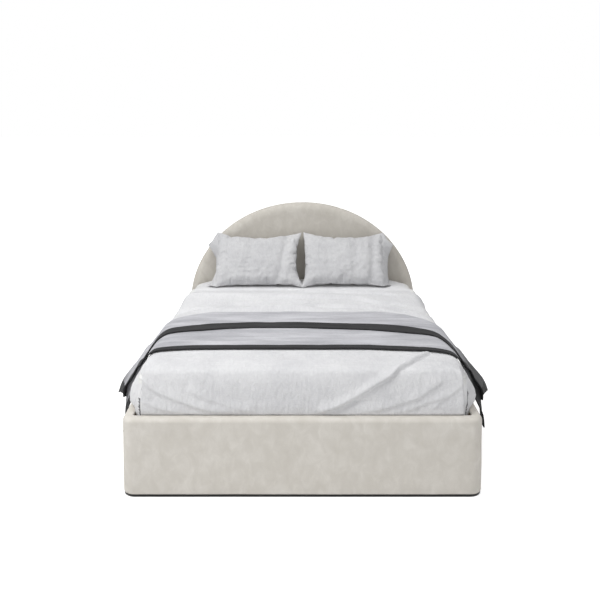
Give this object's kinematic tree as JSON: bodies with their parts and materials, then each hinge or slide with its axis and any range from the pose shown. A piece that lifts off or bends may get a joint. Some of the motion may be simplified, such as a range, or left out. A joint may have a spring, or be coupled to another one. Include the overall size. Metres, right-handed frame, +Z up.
{
  "type": "double bed",
  "caption": "Upholstered double bed with an arched headboard, a lift-up slatted platform over a storage base, mattress, duvet, pillows and a folded throw.",
  "frame": {"origin": "on the floor at the centre of the bed's footprint", "axes": "+Y from the foot towards the headboard, +X to the right seen from the foot, +Z up"},
  "size_m": [2.1838, 2.184, 1.12],
  "materials": {
    "velvet": "soft velvet, cream grey",
    "headboard_velvet": "soft velvet, greige",
    "lining": "black non-woven lining",
    "board": "plain plywood",
    "timber": "sawn softwood",
    "floor_board": "thin board, pale",
    "slat": "bent beech, lacquered",
    "frame_steel": "black powder coat",
    "zinc": "zinc plated",
    "rod": "polished rod",
    "strut_black": "black gloss",
    "plastic": "black plastic",
    "webbing": "woven webbing",
    "ticking": "mattress ticking",
    "sheet_cloth": "smooth cotton",
    "duvet_cloth": "crinkled white cotton",
    "pillow_cloth": "light grey cotton",
    "throw_cloth": "brushed weave, light blue-grey with charcoal borders"
  },
  "bodies": {
    "base": {"foot_board": "board", "side_board_left": "board", "side_board_right": "board", "head_rail": "board", "corner_block_left": "timber", "corner_block_right": "timber", "foot_upholstery": "velvet", "side_upholstery_left": "velvet", "side_upholstery_right": "velvet", "headboard_panel": "board", "headboard_pad": "headboard_velvet", "headboard_border": "headboard_velvet", "headboard_back": "lining", "headboard_bolts": "zinc", "head_bracket_left": "frame_steel", "head_bracket_right": "frame_steel", "glides": "plastic", "base_lining": "lining", "floor_battens": "timber", "floor_panel_left": "floor_board", "floor_panel_right": "floor_board", "foot_ledger": "timber", "head_ledger": "timber", "base_plate_left": "frame_steel", "base_plate_right": "frame_steel", "base_pins": "zinc", "plate_screws": "zinc"},
    "long_links": {"long_link_left": "frame_steel", "long_link_right": "frame_steel", "link_studs": "zinc"},
    "short_links": {"short_link_left": "frame_steel", "short_link_right": "frame_steel"},
    "strut_tubes": {"strut_tube_left": "strut_black", "strut_tube_right": "strut_black"},
    "strut_rods": {"strut_rod_left": "rod", "strut_rod_right": "rod"},
    "platform": {"frame_tube_left": "frame_steel", "frame_tube_right": "frame_steel", "frame_tube_foot": "frame_steel", "frame_tube_head": "frame_steel", "frame_tube_middle": "frame_steel", "frame_tube_centre": "frame_steel", "top_plate_left": "frame_steel", "top_plate_right": "frame_steel", "platform_pins": "zinc", "slats_left": "slat", "slats_right": "slat", "slat_holders": "plastic", "mattress_stop": "frame_steel", "lift_strap": "webbing", "mattress": "ticking", "fitted_sheet": "sheet_cloth", "duvet": "duvet_cloth", "throw": "throw_cloth", "pillow_left": "pillow_cloth", "pillow_right": "pillow_cloth"}
  },
  "joints": [
    {"name": "long_link_pivot", "type": "hinge", "parent": "base", "child": "long_links", "pos_m": [0, -0.0986, 0.06], "axis": [1, 0, 0], "range_deg": [0, 69.02]},
    {"name": "platform_lift", "type": "hinge", "parent": "long_links", "child": "platform", "pos_m": [0, 0.3194, 0.1972], "axis": [-1, 0, 0], "range_deg": [0, 99.67]},
    {"name": "short_link_pivot", "type": "hinge", "parent": "base", "child": "short_links", "pos_m": [0, 0.0057, 0.1962], "axis": [1, 0, 0], "range_deg": [0, 83.51]},
    {"name": "strut_foot_pivot", "type": "hinge", "parent": "base", "child": "strut_tubes", "pos_m": [0, 0.09114, 0.05006], "axis": [1, 0, 0], "range_deg": [0, 34.52]},
    {"name": "strut_head_pivot", "type": "hinge", "parent": "long_links", "child": "strut_rods", "pos_m": [0, -0.02743, 0.23617], "axis": [-1, 0, 0], "range_deg": [0, 34.52]}
  ],
  "couplings": [
    {"joint": "long_link_pivot", "follows": "platform_lift", "ratio": 0.69228},
    {"joint": "short_link_pivot", "follows": "platform_lift", "ratio": 0.83766},
    {"joint": "strut_foot_pivot", "follows": "platform_lift", "ratio": 0.34614},
    {"joint": "strut_head_pivot", "follows": "platform_lift", "ratio": 0.34614}
  ]
}
